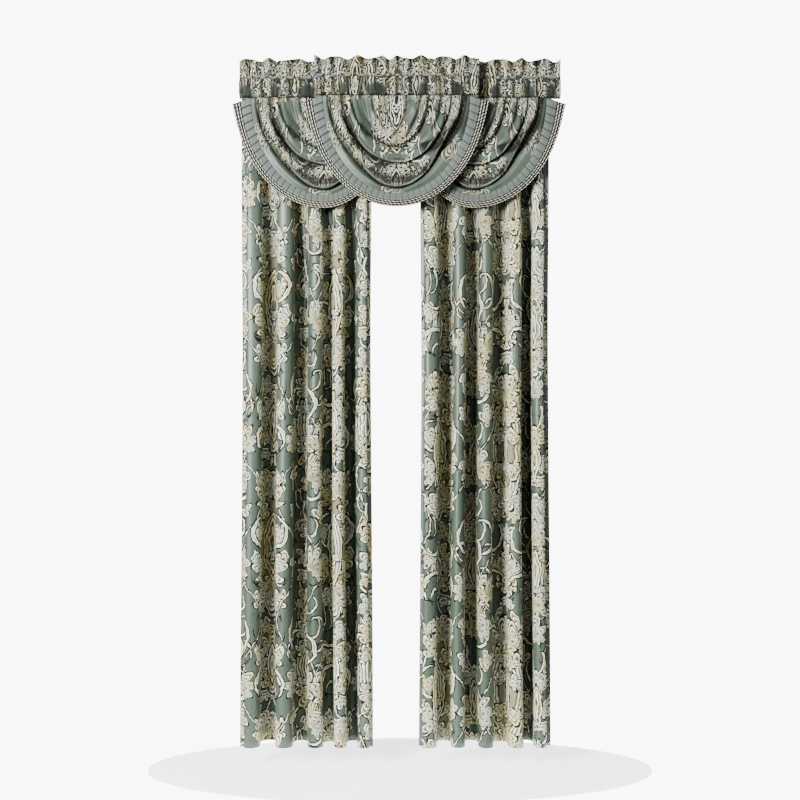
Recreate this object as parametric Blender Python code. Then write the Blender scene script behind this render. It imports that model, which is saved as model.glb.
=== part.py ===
"""A pair of long rod-pocket curtain panels behind three overlapping waterfall valances.

Metres, +Z up. +X is to the right of someone who faces the curtains, and -Y is towards them.
The origin is on the top edge of the headings, over the middle one of the three rod lines.
"""

import math

import bmesh
import bpy
import numpy as np

# Long panels: 84 in from the top of the ruffle to the hem, cut 50 in wide.
PANEL_LENGTH = 2.134
PANEL_SHEET = 0.0020
PANEL_ROWS = (0.0, 0.017, 0.05, 0.10, 0.17, 0.27, 0.40, 0.55, 0.70, 0.85, 0.95, 1.0)
STEPS_PER_HALF_FOLD = 4
FOLD_SWING = 1.72  # radians that the cloth turns away from the window's plane between two folds

PUCKER = 0.0035  # depth of the small gathers just under the seam
WANDER = 0.004  # how far a fold strays sideways on its way down

# Heading that every curtain shares: a standing ruffle over a rod pocket between two seams.
RUFFLE_HEIGHT = 0.060
POCKET_HEIGHT = 0.062
SEAM_Z = -(RUFFLE_HEIGHT + POCKET_HEIGHT)
POCKET_HALF_DEPTH = 0.0115
POCKET_WALL = 0.0020
POCKET_SHOULDER = 0.014
HOLLOW_SHOULDER = 0.013
HOLLOW_INSET = 0.003  # from each seam to the hollow's own top or bottom edge
HOLLOW_OVERRUN = 0.020
GATHER_CREST = 0.0048
GATHER_PITCH = 0.042
RUFFLE_THICKNESS = 0.0030
RUFFLE_SWING = 0.0095
RUFFLE_DIP = 0.010
SEAM_THICKNESS = 0.0026
HEADING_STEP = 0.0108
PANEL_HEADING_STEP = 0.0150
SEAM_GAP = 0.0006

# Rod lines, one behind the other. The headings touch crest to crest.
LAYER_PITCH = 2 * (POCKET_HALF_DEPTH + POCKET_WALL + GATHER_CREST) + 0.0003
BACK_LAYER = LAYER_PITCH
MIDDLE_LAYER = 0.0
FRONT_LAYER = -LAYER_PITCH

# Waterfall valances: 49 in wide cut, sewn to a pleated band with a corded braid outside it.
SWAG_SHEET = 0.0020
SWAG_STEPS = 20
BAND_PLEATS = 40
BAND_THICKNESS = 0.0018
BAND_GAP = 0.0004
PLEAT_RISE = 0.0020
PLEAT_STEP_SHARE = 0.06
BRAID_THICKNESS = 0.0020
BRAID_RIB_RISE = 0.0022
BRAID_STEPS = 32
BRAID_GAP = 0.0008
BRAID_RIBS = 3

# Turning points of the left panel's folds at the hem, in plan.
# across: metres from the panel's left edge. front: 1 is nearest the room and -1 nearest the window.
LEFT_PANEL_FOLDS = (
    # across, front
    (0.000, 0.45),
    (0.034, 1.00),
    (0.087, -1.00),
    (0.137, 1.00),
    (0.187, -0.90),
    (0.234, 1.00),
    (0.273, -0.70),
    (0.306, 0.95),
    (0.342, -0.90),
    (0.381, 1.00),
    (0.4065, 0.50),
)
RIGHT_PANEL_FOLDS = (
    # across, front
    (0.000, 0.40),
    (0.026, 1.00),
    (0.083, -0.95),
    (0.121, 0.92),
    (0.163, -1.00),
    (0.206, 1.00),
    (0.247, -0.75),
    (0.302, 1.00),
    (0.334, -1.00),
    (0.370, 0.95),
    (0.4030, 0.25),
)
# How far the long folds stand from the rod line, going down from the lower seam.
FOLD_DEPTHS = (
    # below seam, half depth
    (0.00, 0.0000),
    (0.04, 0.0140),
    (0.10, 0.0230),
    (0.30, 0.0320),
    (0.60, 0.0440),
    (1.10, 0.0520),
    (2.02, 0.0560),
)

PANELS = (
    # name, left edge, folds
    ("panel_left", -0.4940, LEFT_PANEL_FOLDS),
    ("panel_right", 0.0620, RIGHT_PANEL_FOLDS),
)

# One swag from the middle of its seam out to the sewn edge. Each lip hangs over a tuck.
# seam_left, seam_right: where that row joins the heading, from the middle.
# spread: half width lower down. drop: below the seam at the middle.
# forward: towards the room from the rod line.
SWAG_ROWS = (
    # seam_left, seam_right, spread, drop, forward
    (0.010, 0.010, 0.008, 0.002, 0.000),
    (0.038, 0.044, 0.038, 0.070, 0.008),
    (0.068, 0.076, 0.066, 0.124, 0.021),
    (0.086, 0.092, 0.086, 0.152, 0.022),
    (0.096, 0.102, 0.094, 0.144, 0.008),
    (0.110, 0.114, 0.104, 0.152, 0.005),
    (0.146, 0.134, 0.138, 0.190, 0.022),
    (0.172, 0.152, 0.158, 0.209, 0.024),
    (0.180, 0.162, 0.156, 0.197, 0.008),
    (0.184, 0.172, 0.158, 0.205, 0.004),
    (0.192, 0.194, 0.160, 0.252, 0.023),
    (0.200, 0.206, 0.162, 0.284, 0.026),
    (0.206, 0.211, 0.166, 0.272, 0.009),
    (0.211, 0.215, 0.176, 0.278, 0.006),
    (0.218, 0.220, 0.204, 0.290, 0.017),
    (0.226, 0.226, 0.226, 0.302, 0.014),
)
SEAM_RELIEF = 0.25  # share of a fold's depth that is left where it is gathered into the seam

# Curves that bound the two trims, from the sewn edge outwards.
# spread: half width. drop: height of the curve. start: how far under the seam its ends are.
# flare: how far its ends turn outwards. forward: towards the room.
TRIM_CURVES = {
    # name: spread, drop, start, flare, forward
    "sewn_edge": (0.2260, 0.3020, 0.0000, 0.002, 0.0140),
    "band_outer": (0.2505, 0.3140, 0.0110, 0.009, 0.0165),
    "braid_outer": (0.2700, 0.3240, 0.0200, 0.016, 0.0185),
}
FLARE_POWER = 4.5

VALANCES = (
    # name, middle, heading's left end and right end from the middle, rod line,
    # ruffle's phase, left share and right share of the full swag
    ("valance_left", -0.2345, -0.2630, 0.2330, MIDDLE_LAYER, -0.8, 1.000, 0.800),
    ("valance_right", 0.2280, -0.2265, 0.2695, MIDDLE_LAYER, 1.9, 0.780, 1.000),
    ("valance_middle", -0.0105, -0.2535, 0.2535, FRONT_LAYER, -0.1, 1.000, 1.000),
)

DAMASK_GREEN = (0.235, 0.300, 0.262)
BAND_SILVER = (0.420, 0.475, 0.435)
BRAID_CREAM = (0.360, 0.345, 0.290)


def smooth(value, low, high):
    """0 below low, 1 above high, and an even curve between them."""
    share = min(1.0, max(0.0, (value - low) / (high - low)))
    return share * share * (3 - 2 * share)


def read_table(table, value):
    """The second column of a two-column table where the first column has this value."""
    places, values = zip(*table)
    return float(np.interp(value, places, values))


def gather_phase(x):
    """Gathers counted along the rod, uneven as they are when a pocket is pushed together."""
    uneven = 0.009 * math.sin(11.0 * x + 0.4) + 0.005 * math.sin(31.0 * x + 1.0)
    return 2 * math.pi * (x + uneven) / GATHER_PITCH


def cloth_material(name, colour, roughness):
    """A Principled material in the cloth's own colour."""
    material = bpy.data.materials.new(name)
    material.use_nodes = True
    shader = material.node_tree.nodes["Principled BSDF"]
    shader.inputs["Base Color"].default_value = (*colour, 1.0)
    shader.inputs["Roughness"].default_value = roughness
    shader.inputs["Metallic"].default_value = 0.0
    return material


def place(name, work, material, curtain):
    """Links a mesh as one named, smooth-shaded object under its curtain's empty."""
    # One rule for every diagonal keeps the two faces of a thin twisted sheet apart.
    bmesh.ops.triangulate(work, faces=work.faces, quad_method="SHORT_EDGE")
    mesh = bpy.data.meshes.new(name)
    work.to_mesh(mesh)
    work.free()
    mesh.materials.append(material)
    mesh.shade_smooth()
    mesh.set_sharp_from_angle(angle=math.radians(50))
    piece = bpy.data.objects.new(name, mesh)
    bpy.context.scene.collection.objects.link(piece)
    piece.parent = curtain
    return piece


def sheet(name, rows, thickness, material, curtain):
    """One sheet of cloth: a grid of points, given thickness evenly on both sides."""
    work = bmesh.new()
    grid = [[work.verts.new(point) for point in row] for row in rows]
    for upper, lower in zip(grid, grid[1:]):
        for k in range(len(upper) - 1):
            work.faces.new((upper[k], upper[k + 1], lower[k + 1], lower[k]))
    piece = place(name, work, material, curtain)
    body = piece.modifiers.new("cloth_thickness", "SOLIDIFY")
    body.thickness = thickness
    body.offset = 0.0
    return piece


def loft(name, loops, material, curtain):
    """A closed solid through a series of section loops, capped at both ends."""
    work = bmesh.new()
    rings = [[work.verts.new(point) for point in loop] for loop in loops]
    around = len(loops[0])
    for ring, following in zip(rings, rings[1:]):
        for k in range(around):
            after = (k + 1) % around
            work.faces.new((ring[k], ring[after], following[after], following[k]))
    work.faces.new(rings[0])
    work.faces.new(rings[-1])
    bmesh.ops.recalc_face_normals(work, faces=work.faces)
    return place(name, work, material, curtain)


def pocket_cutter(name, left, right, material, curtain):
    """The straight hollow that the rod goes through, longer than the heading."""
    top = -RUFFLE_HEIGHT - HOLLOW_INSET
    bottom = SEAM_Z + HOLLOW_INSET
    section = (
        (0.0, top),
        (POCKET_HALF_DEPTH, top - HOLLOW_SHOULDER),
        (POCKET_HALF_DEPTH, bottom + HOLLOW_SHOULDER),
        (0.0, bottom),
        (-POCKET_HALF_DEPTH, bottom + HOLLOW_SHOULDER),
        (-POCKET_HALF_DEPTH, top - HOLLOW_SHOULDER),
    )
    ends = (left - HOLLOW_OVERRUN, right + HOLLOW_OVERRUN)
    loops = [[(x, y, z) for y, z in section] for x in ends]
    cutter = loft(name, loops, material, curtain)
    cutter.hide_render = True
    cutter.display_type = "WIRE"
    return cutter


def heading_loop(x, gather, phase_shift):
    """The heading's section at x: the ruffle, the pocket's front and back, and the two seams."""
    crest = GATHER_CREST * (0.5 + 0.5 * math.cos(gather))
    swing = RUFFLE_SWING * math.sin(gather * 0.97 + phase_shift)
    top_dip = RUFFLE_DIP * (0.5 - 0.5 * math.cos(gather * 0.61 + 2.1 * phase_shift))
    bulge = POCKET_HALF_DEPTH + POCKET_WALL + crest
    levels = (
        # height, half depth, swing
        (-top_dip, RUFFLE_THICKNESS / 2, swing),
        (-RUFFLE_HEIGHT, RUFFLE_THICKNESS / 2, 0.0),
        (-RUFFLE_HEIGHT - POCKET_SHOULDER, bulge, 0.0),
        (SEAM_Z + POCKET_SHOULDER, bulge, 0.0),
        (SEAM_Z, SEAM_THICKNESS / 2, 0.0),
    )
    front = [(x, sway - half, z) for z, half, sway in levels]
    back = [(x, sway + half, z) for z, half, sway in reversed(levels)]
    return front + back


def heading(name, left, right, step, phase_shift, material, curtain):
    """Ruffle and rod pocket of one curtain, open right through along X."""
    stations = np.linspace(left, right, round((right - left) / step) + 1)
    loops = [
        heading_loop(float(x), gather_phase(curtain.location.x + float(x)), phase_shift)
        for x in stations
    ]
    piece = loft(name, loops, material, curtain)
    hollow = piece.modifiers.new("rod_hollow", "BOOLEAN")
    hollow.operation = "DIFFERENCE"
    hollow.object = pocket_cutter(name + "_hollow", left, right, material, curtain)
    return piece


def half_fold(share):
    """Across and depth shares along the cloth between a front fold and the next back one."""
    steps = np.linspace(0.0, 1.0, 65)
    turn = FOLD_SWING * np.sin(math.pi * steps)
    across = np.concatenate([[0.0], np.cumsum(np.cos((turn[1:] + turn[:-1]) / 2))])
    depth = np.concatenate([[0.0], np.cumsum(np.sin((turn[1:] + turn[:-1]) / 2))])
    return (
        float(np.interp(share, steps, across / across[-1])),
        float(np.interp(share, steps, depth / depth[-1])),
    )


def plan_of_folds(folds):
    """(even, across, front) along the cloth, even being where it would be without folds."""
    points = []
    halves = len(folds) - 1
    for i in range(halves):
        (start, from_front), (end, to_front) = folds[i], folds[i + 1]
        for k in range(STEPS_PER_HALF_FOLD):
            share = k / STEPS_PER_HALF_FOLD
            across, depth = half_fold(share)
            points.append(
                (
                    folds[-1][0] * (i + share) / halves,
                    start + (end - start) * across,
                    from_front + (to_front - from_front) * depth,
                )
            )
    points.append((folds[-1][0], folds[-1][0], folds[-1][1]))
    return points


def panel_point(curtain, even, across, front, below):
    """A point of a long panel's cloth, that far below the lower seam."""
    wander = WANDER * math.sin(2.1 * below + 9.0 * even) * smooth(below, 0.1, 0.8)
    x = even + (across - even) * smooth(below, 0.0, 0.45) + wander
    puckered = smooth(below, 0.0, 0.04) * (1 - smooth(below, 0.10, 0.45))
    pucker = PUCKER * puckered * math.cos(gather_phase(curtain.location.x + x))
    return (x, -read_table(FOLD_DEPTHS, below) * front - pucker, SEAM_Z - SEAM_GAP - below)


def long_panel(name, folds, material, curtain):
    """One panel's cloth from the lower seam of its heading to its hem."""
    plan = plan_of_folds(folds)
    drop = PANEL_LENGTH + SEAM_Z - SEAM_GAP
    rows = [
        [panel_point(curtain, even, across, front, drop * share) for even, across, front in plan]
        for share in PANEL_ROWS
    ]
    sheet(name, rows, PANEL_SHEET, material, curtain)


def stand_out(forward, low):
    """How far a hanging curve stands towards the room, less so where it nears the seam."""
    return forward * (SEAM_RELIEF + (1 - SEAM_RELIEF) * smooth(low, 0.0, 0.45))


def swag_point(shares, row, angle):
    """A point of a swag. The angle runs from 0 at the left of the seam to pi at its right."""
    seam_left, seam_right, spread, drop, forward = row
    low = math.sin(angle)
    on_left = angle < math.pi / 2
    seam = seam_left if on_left else seam_right
    half_width = seam + (spread - seam) * smooth(low, 0.0, 0.64)
    x = -half_width * math.cos(angle) * shares[0 if on_left else 1]
    return (x, -stand_out(forward, low), SEAM_Z - SEAM_GAP - drop * low)


def swag(name, shares, material, curtain):
    """The hanging cloth of one valance, in nested folds from its seam to its sewn edge."""
    angles = np.linspace(0.0, math.pi, SWAG_STEPS + 1)
    rows = [[swag_point(shares, row, float(angle)) for angle in angles] for row in SWAG_ROWS]
    sheet(name, rows, SWAG_SHEET, material, curtain)


def trim_point(shares, curve, outwards, angle, rise):
    """A point on one of the trims' curves, moved outwards and raised towards the room."""
    spread, drop, start, flare, forward = curve
    low = math.sin(angle)
    side = shares[0 if angle < math.pi / 2 else 1]
    turn_out = math.copysign(flare * (1 - low) ** FLARE_POWER, math.cos(angle))
    x = -((spread + outwards) * math.cos(angle) + turn_out) * side
    return (x, -stand_out(forward, low) - rise, SEAM_Z - SEAM_GAP - start - (drop + outwards) * low)


def pleated_band(name, shares, material, curtain):
    """The satin band round a swag, laid in even knife pleats across its width."""
    inner, outer = TRIM_CURVES["sewn_edge"], TRIM_CURVES["band_outer"]
    back = -BAND_THICKNESS / 2
    loops = []
    for k in range(BAND_PLEATS):
        for share, rise in ((0.0, PLEAT_RISE), (1 - PLEAT_STEP_SHARE, 0.0)):
            angle = math.pi * (k + share) / (BAND_PLEATS - PLEAT_STEP_SHARE)
            front = BAND_THICKNESS / 2 + rise
            loops.append(
                [
                    trim_point(shares, inner, BAND_GAP, angle, front),
                    trim_point(shares, inner, BAND_GAP, angle, back),
                    trim_point(shares, outer, 0.0, angle, back),
                    trim_point(shares, outer, 0.0, angle, front),
                ]
            )
    return loft(name, loops, material, curtain)


def corded_braid(name, shares, material, curtain):
    """The braid outside the band: three cords side by side on a flat back."""
    inner, outer = TRIM_CURVES["band_outer"], TRIM_CURVES["braid_outer"]
    back = -BRAID_THICKNESS / 2
    loops = []
    for angle in np.linspace(0.0, math.pi, BRAID_STEPS + 1):
        loop = []
        for k in range(2 * BRAID_RIBS + 1):
            share = k / (2 * BRAID_RIBS)
            curve = [a + (b - a) * share for a, b in zip(inner, outer)]
            rise = BRAID_THICKNESS / 2 + (BRAID_RIB_RISE if k % 2 else 0.0)
            loop.append(trim_point(shares, curve, BRAID_GAP * (1 - share), float(angle), rise))
        loop.append(trim_point(shares, outer, 0.0, float(angle), back))
        loop.append(trim_point(shares, inner, BRAID_GAP, float(angle), back))
        loops.append(loop)
    return loft(name, loops, material, curtain)


def curtain_at(name, x, rod_y):
    """The empty that carries one curtain's pieces, above its rod line."""
    empty = bpy.data.objects.new(name, None)
    empty.location = (x, rod_y, 0.0)
    empty.empty_display_size = 0.05
    bpy.context.scene.collection.objects.link(empty)
    return empty


def main():
    for existing in list(bpy.data.objects):
        bpy.data.objects.remove(existing, do_unlink=True)
    damask = cloth_material("damask", DAMASK_GREEN, 0.45)
    satin = cloth_material("satin_band", BAND_SILVER, 0.40)
    cords = cloth_material("corded_braid", BRAID_CREAM, 0.60)

    for name, left, folds in PANELS:
        curtain = curtain_at(name + "_curtain", left, BACK_LAYER)
        width = folds[-1][0]
        heading(name + "_heading", 0.0, width, PANEL_HEADING_STEP, 0.8, damask, curtain)
        long_panel(name, folds, damask, curtain)

    for name, middle, left, right, rod_y, phase_shift, *shares in VALANCES:
        curtain = curtain_at(name + "_curtain", middle, rod_y)
        heading(name + "_heading", left, right, HEADING_STEP, phase_shift, damask, curtain)
        swag(name, shares, damask, curtain)
        pleated_band(name + "_band", shares, satin, curtain)
        corded_braid(name + "_braid", shares, cords, curtain)


main()
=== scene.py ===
"""Looks of gathered curtains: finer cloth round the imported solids, its finishes and a small studio.

Metres, +Z up, -Y towards the viewer. The lengths that part.py names are named the same here.
"""

import math

import bpy
import numpy as np
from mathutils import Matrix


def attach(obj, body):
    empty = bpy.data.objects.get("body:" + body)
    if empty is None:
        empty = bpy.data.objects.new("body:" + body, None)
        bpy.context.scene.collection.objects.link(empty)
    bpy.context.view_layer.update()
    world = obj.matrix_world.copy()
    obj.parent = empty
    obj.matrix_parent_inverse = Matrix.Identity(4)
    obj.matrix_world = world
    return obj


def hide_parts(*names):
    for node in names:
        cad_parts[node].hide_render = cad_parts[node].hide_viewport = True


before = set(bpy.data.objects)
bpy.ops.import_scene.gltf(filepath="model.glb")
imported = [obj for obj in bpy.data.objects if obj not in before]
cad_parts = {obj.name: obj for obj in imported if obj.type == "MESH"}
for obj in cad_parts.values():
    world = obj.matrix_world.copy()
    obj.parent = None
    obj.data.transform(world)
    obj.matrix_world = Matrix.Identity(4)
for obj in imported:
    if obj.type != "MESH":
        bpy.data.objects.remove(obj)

bl_info = {
    "name": "Gathered curtains with waterfall valances",
    "version": (1, 0, 0),
    "blender": (4, 5, 0),
    "location": "3D View > Sidebar > Curtains",
    "description": "Makes the cloth, trims, finishes and studio round the packed curtain solids",
    "category": "Object",
}

# Lengths that the solids have too.
PANEL_LENGTH = 2.134
FOLD_SWING = 1.72
PUCKER = 0.0035
WANDER = 0.004
RUFFLE_HEIGHT = 0.060
POCKET_HEIGHT = 0.062
SEAM_Z = -(RUFFLE_HEIGHT + POCKET_HEIGHT)
POCKET_HALF_DEPTH = 0.0115
POCKET_WALL = 0.0020
GATHER_CREST = 0.0048
GATHER_PITCH = 0.042
RUFFLE_THICKNESS = 0.0030
RUFFLE_SWING = 0.0095
RUFFLE_DIP = 0.010
SEAM_THICKNESS = 0.0026
SEAM_GAP = 0.0006
LAYER_PITCH = 2 * (POCKET_HALF_DEPTH + POCKET_WALL + GATHER_CREST) + 0.0003
BACK_LAYER = LAYER_PITCH
MIDDLE_LAYER = 0.0
FRONT_LAYER = -LAYER_PITCH
BAND_PLEATS = 40
BAND_THICKNESS = 0.0018
BAND_GAP = 0.0004
PLEAT_RISE = 0.0020
PLEAT_STEP_SHARE = 0.06

LEFT_PANEL_FOLDS = (
    # across, front
    (0.000, 0.45), (0.034, 1.00), (0.087, -1.00), (0.137, 1.00), (0.187, -0.90), (0.234, 1.00),
    (0.273, -0.70), (0.306, 0.95), (0.342, -0.90), (0.381, 1.00), (0.4065, 0.50),
)
RIGHT_PANEL_FOLDS = (
    # across, front
    (0.000, 0.40), (0.026, 1.00), (0.083, -0.95), (0.121, 0.92), (0.163, -1.00), (0.206, 1.00),
    (0.247, -0.75), (0.302, 1.00), (0.334, -1.00), (0.370, 0.95), (0.4030, 0.25),
)
FOLD_DEPTHS = (
    # below seam, half depth
    (0.00, 0.0000), (0.04, 0.0140), (0.10, 0.0230), (0.30, 0.0320),
    (0.60, 0.0440), (1.10, 0.0520), (2.02, 0.0560),
)
PANELS = (
    # name, left edge, folds, ends of the folds with more painted shade, damask's middle across and down
    ("panel_left", -0.4940, LEFT_PANEL_FOLDS, (0.145, 0.250), 0.097, 0.750),
    ("panel_right", 0.0620, RIGHT_PANEL_FOLDS, (0.130, 0.265), 0.060, 0.450),
)
SWAG_ROWS = (
    # seam_left, seam_right, spread, drop, forward
    (0.010, 0.010, 0.008, 0.002, 0.000),
    (0.038, 0.044, 0.038, 0.070, 0.008),
    (0.068, 0.076, 0.066, 0.124, 0.021),
    (0.086, 0.092, 0.086, 0.152, 0.022),
    (0.096, 0.102, 0.094, 0.144, 0.008),
    (0.110, 0.114, 0.104, 0.152, 0.005),
    (0.146, 0.134, 0.138, 0.190, 0.022),
    (0.172, 0.152, 0.158, 0.209, 0.024),
    (0.180, 0.162, 0.156, 0.197, 0.008),
    (0.184, 0.172, 0.158, 0.205, 0.004),
    (0.192, 0.194, 0.160, 0.252, 0.023),
    (0.200, 0.206, 0.162, 0.284, 0.026),
    (0.206, 0.211, 0.166, 0.272, 0.009),
    (0.211, 0.215, 0.176, 0.278, 0.006),
    (0.218, 0.220, 0.204, 0.290, 0.017),
    (0.226, 0.226, 0.226, 0.302, 0.014),
)
SEAM_RELIEF = 0.25
SEWN_EDGE = (0.2260, 0.3020, 0.0000, 0.002, 0.0140)  # spread, drop, start, flare, forward
BAND_OUTER = (0.2505, 0.3140, 0.0110, 0.009, 0.0165)
BRAID_OUTER = (0.2700, 0.3240, 0.0200, 0.016, 0.0185)
FLARE_POWER = 4.5
VALANCES = (
    # name, middle, rod line, left and right shares, heading's ends from the middle, ruffle's phase
    ("valance_left", -0.2345, MIDDLE_LAYER, (1.000, 0.800), (-0.2630, 0.2330), -0.8),
    ("valance_right", 0.2280, MIDDLE_LAYER, (0.780, 1.000), (-0.2265, 0.2695), 1.9),
    ("valance_middle", -0.0105, FRONT_LAYER, (1.000, 1.000), (-0.2535, 0.2535), -0.1),
)
PANEL_RUFFLE_PHASE = 0.8

# Creases of a swag: across from its middle, and below its seam.
# Each has its trough's depth and half width, its shade, the rise of the roll on its right
# as the points run, and whether it fades at its start.
SWAG_CREASES = (
    (0.0045, 0.0050, 1.00, 0.0030, False, (
        (-0.172, 0.000), (-0.164, 0.048), (-0.152, 0.084), (-0.136, 0.112), (-0.111, 0.149),
        (-0.083, 0.177), (-0.055, 0.197), (-0.031, 0.207), (0.010, 0.205), (0.045, 0.190),
    )),
    (0.0045, 0.0055, 1.00, 0.0030, True, (
        (-0.158, 0.165), (-0.111, 0.217), (-0.071, 0.254), (-0.047, 0.274), (0.000, 0.286), (0.058, 0.262),
        (0.090, 0.229), (0.114, 0.205), (0.1305, 0.177), (0.163, 0.145), (0.191, 0.096), (0.207, 0.028),
    )),
    (0.0040, 0.0085, 1.00, 0.0025, False, (
        (0.205, 0.004), (0.199, 0.040), (0.187, 0.092), (0.163, 0.112), (0.1305, 0.128),
        (0.106, 0.148), (0.080, 0.152), (0.058, 0.146),
    )),
    (0.0030, 0.0040, 0.85, 0.0020, True, (
        (-0.120, 0.075), (-0.090, 0.115), (-0.055, 0.142), (-0.020, 0.156), (0.020, 0.160), (0.050, 0.150),
    )),
    (0.0020, 0.0030, 0.75, 0.0018, False, (
        (0.030, 0.000), (0.026, 0.045), (0.008, 0.095), (-0.018, 0.135),
    )),
    (0.0025, 0.0035, 0.90, 0.0020, False, ((0.072, 0.000), (0.064, 0.050), (0.040, 0.105), (0.022, 0.142))),
    (0.0020, 0.0030, 0.70, 0.0018, False, ((0.100, 0.000), (0.094, 0.045), (0.078, 0.090), (0.060, 0.128))),
    (0.0025, 0.0035, 0.85, 0.0020, False, ((0.136, 0.000), (0.132, 0.040), (0.118, 0.082), (0.104, 0.120))),
    (0.0020, 0.0030, 0.65, 0.0015, False, ((0.168, 0.000), (0.166, 0.035), (0.158, 0.068), (0.148, 0.098))),
    (0.0020, 0.0030, 0.60, 0.0018, False, (
        (-0.142, 0.000), (-0.132, 0.050), (-0.110, 0.100), (-0.082, 0.140),
    )),
    (0.0020, 0.0030, 0.55, 0.0018, False, (
        (-0.112, 0.000), (-0.102, 0.048), (-0.080, 0.092), (-0.052, 0.125),
    )),
    (0.0020, 0.0030, 0.60, 0.0018, False, (
        (-0.078, 0.000), (-0.070, 0.045), (-0.050, 0.085), (-0.028, 0.118),
    )),
    (0.0020, 0.0030, 0.50, 0.0015, False, (
        (-0.040, 0.000), (-0.034, 0.040), (-0.020, 0.078), (-0.004, 0.110),
    )),
    (0.0025, 0.0035, 0.70, 0.0022, False, (
        (-0.206, 0.010), (-0.201, 0.070), (-0.184, 0.122), (-0.158, 0.165), (-0.128, 0.200),
    )),
    (0.0020, 0.0030, 0.55, 0.0018, True, (
        (-0.150, 0.118), (-0.122, 0.160), (-0.090, 0.196), (-0.056, 0.222), (-0.010, 0.236),
    )),
    (0.0020, 0.0035, 0.75, 0.0018, True, (
        (-0.085, 0.222), (-0.040, 0.248), (0.000, 0.256), (0.045, 0.244), (0.085, 0.212),
    )),
    # The last three are wide soft painted shade over hollows, with hardly any trough.
    (0.0010, 0.0140, 0.75, 0.0000, True, (
        (0.066, 0.166), (0.110, 0.164), (0.150, 0.138), (0.184, 0.098), (0.194, 0.060),
    )),
    (0.0010, 0.0085, 0.80, 0.0000, True, (
        (-0.095, 0.215), (-0.060, 0.246), (-0.020, 0.268), (0.030, 0.264), (0.070, 0.238),
    )),
    (0.0010, 0.0080, 0.60, 0.0000, True, (
        (-0.155, 0.100), (-0.120, 0.152), (-0.085, 0.190), (-0.045, 0.214), (0.000, 0.222),
    )),
)
# Parts of a swag without motifs: across, below, half width, half height.
SWAG_PLAIN = (
    (0.120, 0.172, 0.052, 0.020),
    (-0.100, 0.050, 0.030, 0.055),
    (0.045, 0.055, 0.020, 0.055),
    (0.000, 0.190, 0.045, 0.010),
    (0.090, 0.115, 0.022, 0.022),
)
# Hollows over the seam of the headings, with painted shade and no motifs in them: across, and half width.
HEADING_HOLLOWS = (
    (-0.476, 0.022), (-0.384, 0.012), (-0.288, 0.036), (-0.176, 0.012), (-0.074, 0.036),
    (0.070, 0.016), (0.176, 0.018), (0.295, 0.016), (0.401, 0.018), (0.470, 0.012),
)

# Fineness of the meshes.
FOLD_STEPS = 22  # across each half fold
PANEL_STEPS = 150  # down a panel
SWAG_ROW_STEPS = 9
SWAG_ANGLES = 184
HEADING_STEP = 0.0024
PLEAT_STEPS = 6
TRIM_STEPS_ACROSS = 8
CORD_STEPS = 460
CORD_SIDES = 10
CORD_RADIUS = 0.0031
CORD_TWIST = 0.024
CORD_PLUMP = 0.42  # half width of a cord, as a share of its place in the braid
CORD_LUMP = 0.10  # how far the twisted yarns swell and shrink a cord
TAPE_PLACE = 2.0  # the tape's place down in its finish, past the cords' 0 to 1
TAPE_INNER = -0.10  # shares of the braid's width, so the tape starts behind the band's edge
TAPE_OUTER = 0.97
TAPE_RISES = (0.0018, 0.0002, -0.0008, 0.0012)  # away from the room, round its section

SHEET_THICKNESS = 0.0014
HEADING_SHEET = 0.0010
TURNING = 0.0035  # cloth turned in behind a seam
BAND_WIDTH = 0.026
BAND_STITCH = 0.0150  # the seam along the band, from its inner edge
GATHER_RISE = 0.0024  # of the small gathers under a swag's seam
SWAG_GATHER = 0.0205  # from one of them to the next

# Painted shade, carried in the cloth's marks, from 0 to 1.
PAINTED_SHADE_DEPTH = 0.94  # share of the outline's colour where the shade is full
VALLEY_SHADE = 0.42  # behind the long panels' folds
DARKER_SHADE = 0.22  # over the darker folds
SWAG_SHADE = (1.25, 0.24)  # of a crease, and all over
SWAG_VALLEY_SHADE = 0.65
HEADING_SHADE = (0.58, 0.42)
HOLLOW_SHADE = 0.90
FLOWER_START = 0.13  # first group of motifs along a swag's sewn edge
FLOWER_PITCH = 0.264

# Woven design: one repeat of a generic damask.
SATIN_COAT = 0.70
REPEAT_ACROSS = 0.52
REPEAT_DOWN = 0.70
HALF_REPEAT = REPEAT_ACROSS / 2
OUTLINE = 0.0029
LINE_SWELL = 0.006
RINGS = 3  # ivory lines inside one another in each motif
RING_PITCH = 0.0092
WEAVE_STRETCH = 1.05  # the design is drawn narrower than it is woven
WEAVE_SQUEEZE = 0.92  # and less tall
SWAG_WEAVE = (1.00, 1.10)  # scale of the design on the swags, across and down
HEADING_WEAVE = (1.45, 1.45)
OPEN_STRIP = 0.150  # middle of the open ground between the medallions' columns
OPEN_STRIP_HALF = 0.028
FAN_LOBES = (0.60, 0.42)  # shares of a fan's reach: its petals' swing, and their least length
SPRAY_LOBES = (0.60, 0.52)
LOBE_SLOPE = 0.66  # brings the rings of a petal as close as those of a scroll
HEADING_PLACE = (0.20, -0.30)  # where a heading is cut from the woven cloth

# Camera, floor and sky.
SENSOR = 36.0
VIEW_WIDTH = 2.48  # across the picture, at the curtains
VIEW_MIDDLE = -1.0587
LIT_POINT = (0.0, 0.0, -1.1)
FLOOR_HALF_WIDTH, FLOOR_HALF_DEPTH = 0.78, 0.40
FLOOR_SIDES = 64
FLOOR_GLOW = 2.5
WHITE = (1.0, 1.0, 1.0, 1.0)
SKY_LIGHT, SKY_SEEN = 0.20, 9.0  # all round, and added where the camera sees it


def smooth(value, low, high):
    """0 below low, 1 above high, and an even curve between them."""
    share = np.clip((value - low) / (high - low), 0.0, 1.0)
    return share * share * (3 - 2 * share)


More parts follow.
